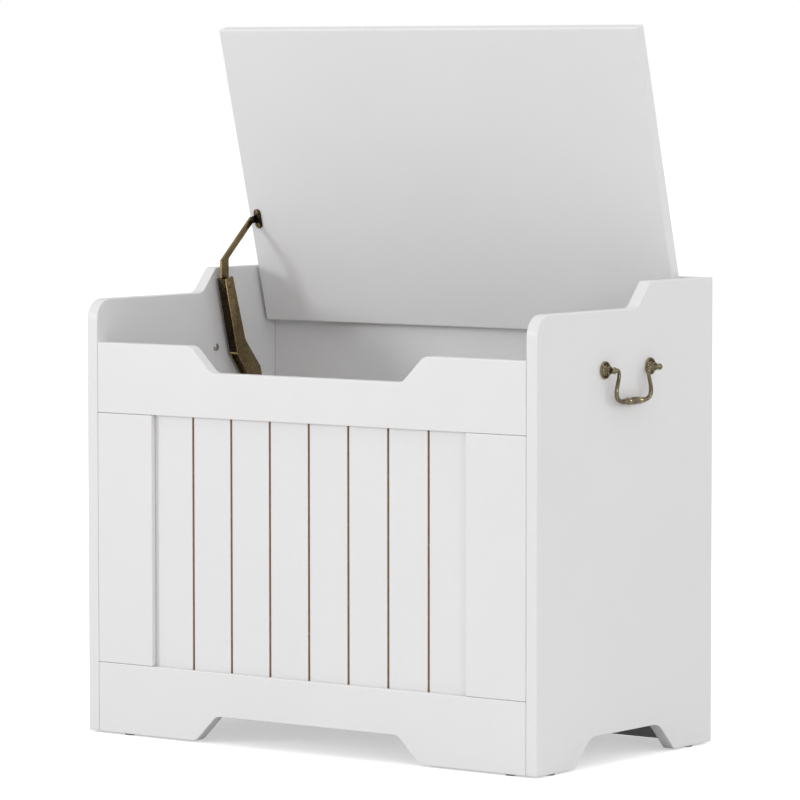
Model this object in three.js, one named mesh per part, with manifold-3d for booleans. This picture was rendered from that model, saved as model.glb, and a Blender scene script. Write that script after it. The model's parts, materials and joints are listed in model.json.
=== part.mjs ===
// A wooden toy box with a hinged lid: white boards, a grooved front panel between two stiles,
// a lifting handle on each side, two butt hinges and one cranked lid stay on the left.
// It is built with the lid held open by the stay.
//
// Millimetres, +Z up, front towards -Y, origin on the floor under the middle of the box.
import * as THREE from "three";
import { mergeVertices } from "three/addons/utils/BufferGeometryUtils.js";
import Module from "manifold-3d";

const wasm = await Module();
wasm.setup();

// ---------------------------------------------------------------- driving dimensions
const WIDTH = 640;
const DEPTH = 350;
const BOARD = 15; // thickness of every structural board
const GAP = 0.3; // joint gap between boards, and between a fitting and its board

// Heights above the boards' feet, and the outlines of the boards.
const BACK_TOP = 535; // back panel and the raised rear of the side panels
const SIDE_TOP = 505.5; // lower front part of the side panels
const RAIL_TOP = 455.5;
const RAIL_BOTTOM = 373.5;
const APRON_TOP = 81.5;
const STILE_WIDTH = 81;
const SIDE = { frontRadius: 23, stepStart: 194.8, stepEnd: 220.8, stepFoot: 17, stepHead: 5 };
const SIDE_ARCH = { frontFoot: 73, rearFoot: 77, height: 32, footRadius: 8, archRadius: 25 };
const HAND_DIP = { halfWidth: 135.8, height: 30, radius: 14 }; // 45 degree ends
const APRON_ARCH = { halfWidth: 129.5, height: 30.5, radius: 14 };

const PANEL_RECESS = 7; // the grooved panel's face lies this far behind the stiles
const PANEL_TONGUE = 10; // how far the panel reaches into the rebates round it
const SLATS = 8;
const GROOVE = { width: 3, depth: 2.5 };

const FLOOR_UNDERSIDE = 56;
const FLOOR_THICKNESS = 12;
const CLEAT = { size: 20, length: 290 };
const GLIDE = { radius: 6, thickness: 2 };
const GLIDE_YS = [35, 311]; // under each side panel
const APRON_GLIDE_XS = [-264, 280];
const BACK_GLIDE_X = 272;

const LID_SIDE_GAP = 5; // from the lid's end to the side panel
const LID_REACH = 360.9; // hinge line to the lid's free edge
const LID_LAP = 1.5; // the lid's rear edge lies this far behind the hinge line
const LID_OPEN = THREE.MathUtils.degToRad(75.3);

const KNUCKLE = { radius: 3.6, bore: 1.8, pin: 1.5 };
const LEAF = { width: 50, length: 26, thickness: 1.4, centreKnuckle: 17 };
const HINGE_X = 200;

// Lid stay: a channel link and a cranked arm, which form a parallelogram with the lid.
const STAY_REACH = 126.6; // hinge line to the bracket pivot, along the lid
const STAY_STANDOFF = 5.5; // bracket pivot to the lid's underside
const STAY_FRONT = 50.4; // the wall pivot lies this far in front of the hinge line...
const STAY_DROP = 77; // ...and this far below it
const CHANNEL = { outerX: 300.5, width: 13.5, wall: 1.5, head: 9.2, webLength: 90 };
const FLANGE = { kneeToWeb: 6.7, kneeDepth: 15.5, bendDepth: 19, bendAt: 72, boss: 7.5 };
const ARM = { thickness: 3, kneeHalf: 4.9, front: 8.7, shoulder: 8.3, half: 3.7 };
const ARM_SLANT = THREE.MathUtils.degToRad(41.5);
const WALL_PLATE = { length: 62, width: 20, thickness: 1.5, screwSpread: 22 };
const BRACKET = { length: 24, width: 10, thickness: 1.5, screwSpread: 8 };
const RIVET = 2.3; // radius of the stay's pivots
const RIVET_BORE = 2.6;

// Handles: two turned posts with eyes, and a bail that hangs between them.
const HANDLE_Z = 439.4;
const POST_SPREAD = 45; // half the distance between the posts
const EYE = { standoff: 12.6, radius: 3.8, bore: 2.1 };
const BAIL = { crank: 4, drop: 36, grip: 4.4, gripHalf: 22, beadAt: 10.8, beadPitch: 1.8 };

const WOOD_SCREW = { head: 3.1, headHeight: 1.2, shank: 1.5, length: 12, bore: 1.9 };
const HANDLE_SCREW = { head: 4.2, headHeight: 2.2, shank: 1.6, length: 22, bore: 2 };

const INSIDE = WIDTH / 2 - BOARD; // half the clear width between the side panels
const FIT = INSIDE - GAP; // half the width of a board that stands between them
const PIVOT_OFFSET = KNUCKLE.radius + GAP; // hinge line to a board that a leaf lies on
const PIVOT_Y = DEPTH - BOARD - PIVOT_OFFSET;
const PIVOT_Z = RAIL_TOP + GAP + BOARD + PIVOT_OFFSET;
const LID_TOP = -PIVOT_OFFSET; // lid faces, seen from the hinge line with the lid closed
const LID_UNDERSIDE = LID_TOP - BOARD;

// ---------------------------------------------------------------- solids
const X_AXIS = new THREE.Vector3(1, 0, 0);
const Y_AXIS = new THREE.Vector3(0, 1, 0);
const Z_AXIS = new THREE.Vector3(0, 0, 1);
const QUARTER = Math.PI / 2;

// A closed geometry as a solid that can be cut and joined.
function solid(geometry) {
  const bare = geometry.clone();
  bare.deleteAttribute("normal");
  bare.deleteAttribute("uv");
  const merged = mergeVertices(bare, 1e-4);
  return new wasm.Manifold(
    new wasm.Mesh({
      numProp: 3,
      vertProperties: merged.attributes.position.array,
      triVerts: new Uint32Array(merged.index.array),
    }),
  );
}

// A solid as a geometry that a mesh can use.
function geometryOf(made) {
  const mesh = made.getMesh();
  const geometry = new THREE.BufferGeometry();
  geometry.setAttribute("position", new THREE.BufferAttribute(mesh.vertProperties, 3));
  geometry.setIndex(new THREE.BufferAttribute(mesh.triVerts, 1));
  geometry.computeVertexNormals();
  return geometry;
}

// Corner points [x, y, radius] as a closed outline, each corner rounded by an arc of its radius.
function outline(corners, arcSteps = 8) {
  const points = corners.flatMap(([x, y, radius = 0], i) => {
    const corner = new THREE.Vector2(x, y);
    if (radius === 0) return [corner];
    const [beforeX, beforeY] = corners.at(i - 1);
    const [afterX, afterY] = corners[(i + 1) % corners.length];
    const back = new THREE.Vector2(beforeX, beforeY).sub(corner).normalize();
    const on = new THREE.Vector2(afterX, afterY).sub(corner).normalize();
    const half = Math.acos(back.dot(on)) / 2;
    const inward = back.clone().add(on).normalize();
    const centre = corner.clone().addScaledVector(inward, radius / Math.sin(half));
    const start = corner.clone().addScaledVector(back, radius / Math.tan(half));
    const sweep = (Math.PI - 2 * half) * (back.cross(on) > 0 ? -1 : 1);
    const turn = (step) => start.clone().rotateAround(centre, (sweep * step) / arcSteps);
    return Array.from({ length: arcSteps + 1 }, (_, step) => turn(step));
  });
  return new THREE.Shape(points);
}

// A plate outline with round ends, longer in y than in x.
function roundEnded(width, length) {
  const corners = [
    [-1, -1],
    [1, -1],
    [1, 1],
    [-1, 1],
  ];
  const radius = width * 0.48;
  return outline(corners.map(([x, y]) => [(x * width) / 2, (y * length) / 2, radius]));
}

// An outline in x and z as a board whose faces look along Y, from front to front + thickness.
function boardAcross(shape, front, thickness) {
  const geometry = new THREE.ExtrudeGeometry(shape, { depth: thickness, bevelEnabled: false });
  return geometry.rotateX(QUARTER).translate(0, front + thickness, 0);
}

// An outline in y and z as a plate whose faces look along X, from left to left + thickness.
function plateAlong(shape, left, thickness) {
  const curveSegments = 6; // for the round ends of a bar
  const options = { depth: thickness, bevelEnabled: false, curveSegments };
  const geometry = new THREE.ExtrudeGeometry(shape, options);
  const turn = new THREE.Matrix4().makeBasis(Y_AXIS, Z_AXIS, X_AXIS);
  return geometry.applyMatrix4(turn).translate(left, 0, 0);
}

// A box between two corners.
function block([x0, y0, z0], [x1, y1, z1]) {
  const geometry = new THREE.BoxGeometry(x1 - x0, y1 - y0, z1 - z0);
  return geometry.translate((x0 + x1) / 2, (y0 + y1) / 2, (z0 + z1) / 2);
}

// A rod with its axis along the vector, centred on the point.
function rod(radius, length, point, along, sides = 12) {
  const turn = new THREE.Quaternion().setFromUnitVectors(Y_AXIS, along);
  const geometry = new THREE.CylinderGeometry(radius, radius, length, sides);
  return geometry.applyQuaternion(turn).translate(...point);
}

// A round wire in 3-D through points [x, y, z, radius], none of its parts along X, with flat ends.
function wireThrough(stations, stepsPerSpan = 3, sides = 8) {
  const points = stations.map(([x, y, z]) => new THREE.Vector3(x, y, z));
  const route = new THREE.CatmullRomCurve3(points, false, "centripetal");
  const rings = (stations.length - 1) * stepsPerSpan;
  const skin = [];
  for (let ring = 0; ring <= rings; ring += 1) {
    const station = Math.min(Math.floor(ring / stepsPerSpan), stations.length - 2);
    const share = ring / stepsPerSpan - station;
    const [from, to] = [stations[station][3], stations[station + 1][3]];
    const radius = THREE.MathUtils.lerp(from, to, share);
    const centre = route.getPoint(ring / rings);
    const heading = route.getTangent(ring / rings);
    const level = new THREE.Vector3().crossVectors(heading, X_AXIS).normalize();
    for (let side = 0; side < sides; side += 1) {
      const spoke = level.clone().applyAxisAngle(heading, (2 * Math.PI * side) / sides);
      skin.push(centre.clone().addScaledVector(spoke, radius));
    }
  }
  const faces = [];
  for (let first = 0; first < rings * sides; first += 1) {
    const next = first % sides === sides - 1 ? first + 1 - sides : first + 1;
    faces.push(first, next, next + sides, first, next + sides, first + sides);
  }
  const last = rings * sides;
  for (let side = 2; side < sides; side += 1) {
    faces.push(0, side, side - 1, last, last + side - 1, last + side);
  }
  return new THREE.BufferGeometry().setFromPoints(skin).setIndex(faces);
}

// A profile of [radius, height] points turned about the vector, heights along it.
function turned(profile, along, sides = 14) {
  const turn = new THREE.Quaternion().setFromUnitVectors(Y_AXIS, along);
  const points = profile.map(([radius, height]) => new THREE.Vector2(radius, height));
  return new THREE.LatheGeometry(points, sides).applyQuaternion(turn);
}

// A flat bar with round ends, from start to end, each [y, z], in the plane across X.
function bar(start, end, startHalf, endHalf) {
  const from = new THREE.Vector2(...start);
  const to = new THREE.Vector2(...end);
  const heading = to.clone().sub(from).angle();
  const shape = new THREE.Shape();
  shape.absarc(from.x, from.y, startHalf, heading + QUARTER, heading + 3 * QUARTER);
  shape.absarc(to.x, to.y, endHalf, heading - QUARTER, heading + QUARTER);
  return shape;
}

// Cuts holes through a geometry: each is a rod from rod().
function drilled(geometry, holes) {
  const cut = holes.reduce((left, hole) => left.subtract(solid(hole)), solid(geometry));
  return geometryOf(cut);
}

function joined(geometries) {
  return geometryOf(geometries.map(solid).reduce((whole, piece) => whole.add(piece)));
}

// ---------------------------------------------------------------- materials
const FINISHES = {
  paint: { color: 0xeceaea, roughness: 0.45, metalness: 0 },
  brass: { color: 0x6b5a3a, roughness: 0.38, metalness: 0.9 },
  steel: { color: 0xb0aca4, roughness: 0.3, metalness: 1 },
  plastic: { color: 0x8d8883, roughness: 0.6, metalness: 0 },
};

function piece(parent, name, geometry, finish) {
  const mesh = new THREE.Mesh(geometry, new THREE.MeshStandardMaterial(FINISHES[finish]));
  mesh.name = name;
  parent.add(mesh);
  return mesh;
}

const toyBox = new THREE.Group();
// Inside this group y is measured from the front face and z from the boards' feet.
const carcass = new THREE.Group();
carcass.position.set(0, -DEPTH / 2, GLIDE.thickness);
toyBox.add(carcass);
// The lid's own group turns about the hinge line, and is drawn with the lid closed.
const lidFrame = new THREE.Group();
lidFrame.position.set(0, PIVOT_Y, PIVOT_Z);
lidFrame.rotation.x = -LID_OPEN;
carcass.add(lidFrame);

// ---------------------------------------------------------------- fasteners
// A cross-head screw along +Z, its origin under the head.
function screw({ head, headHeight, shank, length }) {
  const tip = shank * 1.2;
  const crown = head * 0.6;
  const body = turned(
    [
      [0, -length],
      [shank, tip - length],
      [shank, 0],
      [head, 0],
      [head, headHeight * 0.5],
      [crown, headHeight],
      [0, headHeight],
    ],
    Z_AXIS,
    10,
  );
  const slotHalf = head * 0.13;
  const slots = [0, QUARTER].map((turn) =>
    block([-crown, -slotHalf, headHeight * 0.45], [crown, slotHalf, headHeight + 1]).rotateZ(turn),
  );
  return drilled(body, slots);
}

const FACING = {
  up: [0, 0],
  down: [Math.PI, 0],
  front: [QUARTER, 0],
  right: [0, QUARTER],
  left: [0, -QUARTER],
};

function addScrew(parent, name, kind, facing, position, finish = "brass") {
  const mesh = piece(parent, name, screw(kind), finish);
  const [aboutX, aboutY] = FACING[facing];
  mesh.rotation.set(aboutX, aboutY, 0);
  mesh.position.set(...position);
}

// A blind pilot hole, sunk into a board's face from the point along the vector.
function pilot(kind, point, along, depth = kind.length) {
  const centre = new THREE.Vector3(...point).addScaledVector(along, (depth - 1) / 2);
  return rod(kind.bore, depth + 1, centre.toArray(), along, 10);
}

// ---------------------------------------------------------------- places shared by the pieces
// Wall pivot of the stay, and its bracket pivot seen from the hinge line with the lid closed.
const STAY_WALL = [PIVOT_Y - STAY_FRONT, PIVOT_Z - STAY_DROP];
const STAY_BRACKET = [-STAY_REACH, LID_UNDERSIDE - STAY_STANDOFF];
const CHANNEL_MID = -CHANNEL.outerX + CHANNEL.width / 2;
const ARM_LEFT = CHANNEL_MID - ARM.thickness / 2;
const ARM_RIGHT = ARM_LEFT + ARM.thickness;
const BRACKET_LEFT = ARM_RIGHT + GAP;
const BRACKET_X = BRACKET_LEFT + BRACKET.width / 2;
const STAY_SCREW_ZS = [-1, 1].map((end) => STAY_WALL[1] + end * WALL_PLATE.screwSpread);
const BRACKET_SCREW_YS = [-1, 1].map((end) => end * BRACKET.screwSpread - STAY_REACH);
const POST_YS = [-1, 1].map((end) => DEPTH / 2 + end * POST_SPREAD);
const LEAF_SCREW = { x: 15, reach: 17 }; // from the hinge's middle, and from the hinge line
const HINGE_SCREW_XS = [-1, 1].flatMap((hinge) =>
  [-1, 1].map((end) => hinge * HINGE_X + end * LEAF_SCREW.x),
);

// ---------------------------------------------------------------- boards
function sidePanel(side) {
  const rearFoot = DEPTH - SIDE_ARCH.rearFoot;
  const { frontFoot, height, footRadius, archRadius } = SIDE_ARCH;
  const shape = outline([
    [0, 0],
    [frontFoot, 0, footRadius],
    [frontFoot + height, height, archRadius],
    [rearFoot - height, height, archRadius],
    [rearFoot, 0, footRadius],
    [DEPTH, 0],
    [DEPTH, BACK_TOP],
    [SIDE.stepEnd, BACK_TOP, SIDE.stepHead],
    [SIDE.stepStart, SIDE_TOP, SIDE.stepFoot],
    [0, SIDE_TOP, SIDE.frontRadius],
  ]);
  const panel = plateAlong(shape, side < 0 ? -WIDTH / 2 : INSIDE, BOARD);
  const middleX = side * (INSIDE + BOARD / 2);
  const holes = POST_YS.map((y) =>
    rod(HANDLE_SCREW.bore, BOARD + 2, [middleX, y, HANDLE_Z], X_AXIS, 10),
  );
  if (side < 0) {
    const intoWall = X_AXIS.clone().negate();
    holes.push(
      ...STAY_SCREW_ZS.map((z) => pilot(WOOD_SCREW, [-INSIDE, STAY_WALL[0], z], intoWall)),
    );
  }
  return drilled(panel, holes);
}

function backPanel() {
  const board = block([-FIT, DEPTH - BOARD, 0], [FIT, DEPTH, BACK_TOP]);
  const z = PIVOT_Z + LEAF_SCREW.reach;
  const holes = HINGE_SCREW_XS.map((x) => pilot(WOOD_SCREW, [x, DEPTH - BOARD, z], Y_AXIS));
  return drilled(board, holes);
}

// The rebate that holds one edge of the grooved panel, between heights z0 and z1.
function rebate(z0, z1) {
  const half = FIT - STILE_WIDTH + PANEL_TONGUE;
  return block([-half, PANEL_RECESS, z0], [half, BOARD + 1, z1]);
}

function topRail() {
  const dipEnd = HAND_DIP.halfWidth + HAND_DIP.height;
  const dipFloor = RAIL_TOP - HAND_DIP.height;
  const shape = outline([
    [-FIT, RAIL_BOTTOM + GAP],
    [FIT, RAIL_BOTTOM + GAP],
    [FIT, RAIL_TOP],
    [dipEnd, RAIL_TOP, HAND_DIP.radius],
    [HAND_DIP.halfWidth, dipFloor, HAND_DIP.radius],
    [-HAND_DIP.halfWidth, dipFloor, HAND_DIP.radius],
    [-dipEnd, RAIL_TOP, HAND_DIP.radius],
    [-FIT, RAIL_TOP],
  ]);
  const cut = rebate(RAIL_BOTTOM - 1, RAIL_BOTTOM + PANEL_TONGUE);
  return drilled(boardAcross(shape, 0, BOARD), [cut]);
}

function apron() {
  const archEnd = APRON_ARCH.halfWidth + APRON_ARCH.height;
  const shape = outline([
    [-FIT, 0],
    [-archEnd, 0, APRON_ARCH.radius],
    [-APRON_ARCH.halfWidth, APRON_ARCH.height, APRON_ARCH.radius],
    [APRON_ARCH.halfWidth, APRON_ARCH.height, APRON_ARCH.radius],
    [archEnd, 0, APRON_ARCH.radius],
    [FIT, 0],
    [FIT, APRON_TOP],
    [-FIT, APRON_TOP],
  ]);
  const cut = rebate(APRON_TOP - PANEL_TONGUE, APRON_TOP + 1);
  return drilled(boardAcross(shape, 0, BOARD), [cut]);
}

// A stile is an L in plan: its rebate takes the side edge of the grooved panel.
function stile(side) {
  const inner = FIT - STILE_WIDTH;
  const plan = [
    [inner, 0],
    [FIT, 0],
    [FIT, BOARD],
    [inner + PANEL_TONGUE, BOARD],
    [inner + PANEL_TONGUE, PANEL_RECESS],
    [inner, PANEL_RECESS],
  ].map(([x, y]) => [side * x, y]);
  if (side < 0) plan.reverse();
  const height = RAIL_BOTTOM - APRON_TOP - GAP;
  const geometry = new THREE.ExtrudeGeometry(outline(plan), {
    depth: height,
    bevelEnabled: false,
  });
  return geometry.translate(0, 0, APRON_TOP + GAP);
}

// The grooved panel: one board with a groove between each two slats.
function groovedPanel() {
  const inner = FIT - STILE_WIDTH;
  const half = inner + PANEL_TONGUE - GAP;
  const face = PANEL_RECESS + GAP;
  const pitch = (2 * inner) / SLATS;
  const plan = [[-half, face]];
  for (let slat = 1; slat < SLATS; slat += 1) {
    const x = slat * pitch - inner;
    plan.push(
      [x - GROOVE.width / 2, face],
      [x - GROOVE.width / 2, face + GROOVE.depth],
      [x + GROOVE.width / 2, face + GROOVE.depth],
      [x + GROOVE.width / 2, face],
    );
  }
  plan.push([half, face], [half, BOARD], [-half, BOARD]);
  const bottom = APRON_TOP - PANEL_TONGUE + GAP;
  const top = RAIL_BOTTOM + PANEL_TONGUE - GAP;
  const geometry = new THREE.ExtrudeGeometry(outline(plan), {
    depth: top - bottom,
    bevelEnabled: false,
  });
  return geometry.translate(0, 0, bottom);
}

function lidBoard() {
  const half = INSIDE - LID_SIDE_GAP;
  const board = block([-half, -LID_REACH, LID_UNDERSIDE], [half, LID_LAP, LID_TOP]);
  const holes = [
    ...HINGE_SCREW_XS.map((x) =>
      pilot(WOOD_SCREW, [x, -LEAF_SCREW.reach, LID_TOP], Z_AXIS.clone().negate()),
    ),
    ...BRACKET_SCREW_YS.map((y) => pilot(WOOD_SCREW, [BRACKET_X, y, LID_UNDERSIDE], Z_AXIS)),
  ];
  return drilled(board, holes);
}

function addBoards() {
  piece(carcass, "side_panel_left", sidePanel(-1), "paint");
  piece(carcass, "side_panel_right", sidePanel(1), "paint");
  piece(carcass, "back_panel", backPanel(), "paint");
  piece(carcass, "front_top_rail", topRail(), "paint");
  piece(carcass, "front_apron", apron(), "paint");
  piece(carcass, "front_stile_left", stile(-1), "paint");
  piece(carcass, "front_stile_right", stile(1), "paint");
  piece(carcass, "grooved_front_panel", groovedPanel(), "paint");
  const floorTop = FLOOR_UNDERSIDE + FLOOR_THICKNESS;
  const floorFront = BOARD + GAP;
  const floorBack = DEPTH - BOARD - GAP;
  const floor = block([-FIT, floorFront, FLOOR_UNDERSIDE], [FIT, floorBack, floorTop]);
  piece(carcass, "bottom_panel", floor, "paint");
  const cleatTop = FLOOR_UNDERSIDE - GAP;
  const cleatFront = (DEPTH - CLEAT.length) / 2;
  for (const [name, left] of [
    ["bottom_cleat_left", -FIT],
    ["bottom_cleat_right", FIT - CLEAT.size],
  ]) {
    const low = [left, cleatFront, cleatTop - CLEAT.size];
    const high = [left + CLEAT.size, cleatFront + CLEAT.length, cleatTop];
    piece(carcass, name, block(low, high), "paint");
  }
  piece(lidFrame, "lid", lidBoard(), "paint");
}

// Round plastic glides, nailed under the feet.
function addGlides() {
  const { radius, thickness } = GLIDE;
  const profile = [
    [0, -thickness],
    [radius - 0.8, -thickness],
    [radius, 0.6 - thickness],
    [radius, -GAP],
    [0, -GAP],
  ];
  const middle = BOARD / 2;
  const places = {
    glide_left_front: [-INSIDE - middle, GLIDE_YS[0]],
    glide_left_rear: [-INSIDE - middle, GLIDE_YS[1]],
    glide_right_front: [INSIDE + middle, GLIDE_YS[0]],
    glide_right_rear: [INSIDE + middle, GLIDE_YS[1]],
    glide_apron_left: [APRON_GLIDE_XS[0], middle],
    glide_apron_right: [APRON_GLIDE_XS[1], middle],
    glide_back_left: [-BACK_GLIDE_X, DEPTH - middle],
    glide_back_right: [BACK_GLIDE_X, DEPTH - middle],
  };
  for (const [name, [x, y]] of Object.entries(places)) {
    piece(carcass, name, turned(profile, Z_AXIS), "plastic").position.set(x, y, 0);
  }
}

// ---------------------------------------------------------------- hinges
// A hinge leaf along +Z, its flat back at y = knuckle radius, with knuckles at the x ranges.
function hingeLeaf(knuckleRanges) {
  const { radius, bore } = KNUCKLE;
  const inner = radius - LEAF.thickness;
  const clear = radius + 0.4;
  const half = LEAF.width / 2;
  const parts = [block([-half, inner, clear], [half, radius, LEAF.length])];
  for (const [x0, x1] of knuckleRanges) {
    parts.push(block([x0, inner, 0], [x1, radius, clear + 1]));
    parts.push(rod(radius, x1 - x0, [(x0 + x1) / 2, 0, 0], X_AXIS, 16));
  }
  const holes = [rod(bore, LEAF.width + 2, [0, 0, 0], X_AXIS, 12)];
  for (const end of [-1, 1]) {
    const point = [end * LEAF_SCREW.x, radius, LEAF_SCREW.reach];
    holes.push(rod(WOOD_SCREW.bore, 2 * LEAF.thickness + 1, point, Y_AXIS, 10));
  }
  return drilled(joined(parts), holes);
}

function addHinge(name, x) {
  const half = LEAF.width / 2;
  const split = LEAF.centreKnuckle / 2;
  const wall = hingeLeaf([
    [-half, -split - GAP / 2],
    [split + GAP / 2, half],
  ]);
  const lid = hingeLeaf([[-split + GAP / 2, split - GAP / 2]]);
  lid.rotateX(-QUARTER).rotateZ(Math.PI);
  piece(carcass, `${name}_wall_leaf`, wall, "brass").position.set(x, PIVOT_Y, PIVOT_Z);
  piece(lidFrame, `${name}_lid_leaf`, lid, "brass").position.x = x;
  const end = half + GAP;
  const tip = end + 1.6;
  const profile = [
    [0, -tip],
    [1.6, -tip],
    [2.6, -end - 0.6],
    [2.6, -end],
    [KNUCKLE.pin, -end],
    [KNUCKLE.pin, end],
    [2.6, end],
    [2.6, end + 0.6],
    [1.6, tip],
    [0, tip],
  ];
  const pin = turned(profile, X_AXIS, 12);
  piece(carcass, `${name}_pin`, pin, "brass").position.set(x, PIVOT_Y, PIVOT_Z);
  const leafTop = LEAF.thickness + 2 * GAP;
  [-1, 1].forEach((side, i) => {
    const screwX = x + side * LEAF_SCREW.x;
    const wallSpot = [screwX, DEPTH - BOARD - leafTop, PIVOT_Z + LEAF_SCREW.reach];
    addScrew(carcass, `${name}_wall_screw_${i + 1}`, WOOD_SCREW, "front", wallSpot);
    const lidSpot = [screwX, -LEAF_SCREW.reach, LID_TOP + leafTop];
    addScrew(lidFrame, `${name}_lid_screw_${i + 1}`, WOOD_SCREW, "up", lidSpot);
  });
}

// ---------------------------------------------------------------- lid stay
// The stay's channel with the lid closed: the wall pivot is at the origin, the knee in front of
// it. Its web is parallel to the lid, and its flanges bend up to the wall pivot.
function stayChannel() {
  const { width, wall, head, webLength } = CHANNEL;
  const { kneeToWeb, kneeDepth, bendDepth, bendAt, boss } = FLANGE;
  const [kneeY, kneeZ] = STAY_BRACKET;
  const front = kneeY - head;
  const webFace = kneeZ - kneeToWeb;
  const flange = outline([
    [front, webFace, 1],
    [front + webLength, webFace, 12],
    [boss, -boss, boss - 0.2],
    [boss, boss, boss - 0.2],
    [-2 * boss, boss, boss],
    [kneeY + bendAt, webFace + bendDepth, 20],
    [front, webFace + kneeDepth, 2],
  ]);
  const left = CHANNEL_MID - width / 2;
  const right = left + width;
  const flanges = [left, right - wall].map((x) => plateAlong(flange, x, wall));
  const web = block([left, front + 0.5, webFace], [right, front + webLength - 4, webFace + wall]);
  const pivots = [[0, 0], STAY_BRACKET];
  const holes = pivots.map(([y, z]) => rod(RIVET_BORE, width + 2, [CHANNEL_MID, y, z], X_AXIS));
  return drilled(joined([...flanges, web]), holes);
}

// A headed rivet along +X: lengths are where each head and each collar starts and ends.
function rivet(x0, x1, head, headHeight, collars = []) {
  const profile = [
    [0, x0 - headHeight],
    [head * 0.7, x0 - headHeight],
    [head, x0 - headHeight / 3],
    [head, x0],
    [RIVET, x0],
  ];
  for (const [from, to] of collars) {
    profile.push([RIVET, from], [RIVET + 1.6, from], [RIVET + 1.6, to], [RIVET, to]);
  }
  profile.push(
    [RIVET, x1],
    [head, x1],
    [head, x1 + headHeight / 3],
    [head * 0.7, x1 + headHeight],
    [0, x1 + headHeight],
  );
  return turned(profile, X_AXIS);
}

// The arm, its knee at the origin: a wide upright foot whose shoulder stops on the channel's web,
// then a narrow part that slants back to the bracket pivot.
function stayArm() {
  const { thickness, kneeHalf, front, shoulder, half } = ARM;
  const end = [STAY_FRONT, STAY_DROP];
  // Height of the slanted part's edge at a depth y: side is 1 for its upper edge, -1 for its lower.
  const edgeAt = (y, side) =>
    STAY_DROP + (y - STAY_FRONT) * Math.tan(ARM_SLANT) + (side * half) / Math.cos(ARM_SLANT);
  const tip = (side) => {
    const corner = new THREE.Vector2(half, side * half).rotateAround(new THREE.Vector2(), ARM_SLANT);
    return [end[0] + corner.x, end[1] + corner.y, half - 0.1];
  };
  const shape = outline([
    [-kneeHalf, -kneeHalf, kneeHalf - 0.1],
    [kneeHalf, -kneeHalf, kneeHalf - 0.1],
    [kneeHalf, edgeAt(kneeHalf, -1), 4],
    tip(-1),
    tip(1),
    [-front, edgeAt(-front, 1), 4],
    [-front, shoulder, 0.8],
    [-kneeHalf, shoulder, 0.8],
  ]);
  const arm = plateAlong(shape, ARM_LEFT, thickness);
  const holes = [[0, 0], end].map(([y, z]) => rod(RIVET_BORE, 20, [ARM_LEFT, y, z], X_AXIS));
  return drilled(arm, holes);
}

// Bracket under the lid: an oval plate with an ear that carries the arm's pin.
function stayBracket() {
  const { length, width, thickness } = BRACKET;
  const [y, z] = STAY_BRACKET;
  const plateTop = LID_UNDERSIDE - GAP;
  const options = { depth: thickness, bevelEnabled: false };
  const oval = new THREE.ExtrudeGeometry(roundEnded(width, length), options);
  oval.translate(BRACKET_X, y, plateTop - thickness);
  const earTop = plateTop - thickness / 2;
  const ear = plateAlong(bar([y, earTop - 1], [y, z], 1.4, 4.2), BRACKET_LEFT, thickness);
  const foot = block([BRACKET_LEFT, y - 4.2, z], [BRACKET_LEFT + thickness, y + 4.2, earTop]);
  const holes = [rod(RIVET_BORE, 6, [BRACKET_LEFT, y, z], X_AXIS)];
  for (const screwY of BRACKET_SCREW_YS) {
    holes.push(rod(WOOD_SCREW.bore, 6, [BRACKET_X, screwY, plateTop], Z_AXIS, 10));
  }
  return drilled(joined([oval, ear, foot]), holes);
}

// The wall plate that the channel turns on.
function stayWallPlate() {
  const { length, width, thickness, screwSpread } = WALL_PLATE;
  const plate = plateAlong(roundEnded(width, length), -FIT, thickness);
  const holes = [rod(RIVET_BORE, 6, [-FIT, 0, 0], X_AXIS)];
  for (const end of [-1, 1]) {
    holes.push(rod(WOOD_SCREW.bore, 6, [-FIT, 0, end * screwSpread], X_AXIS, 10));
  }
  return drilled(plate, holes);
}

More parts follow.
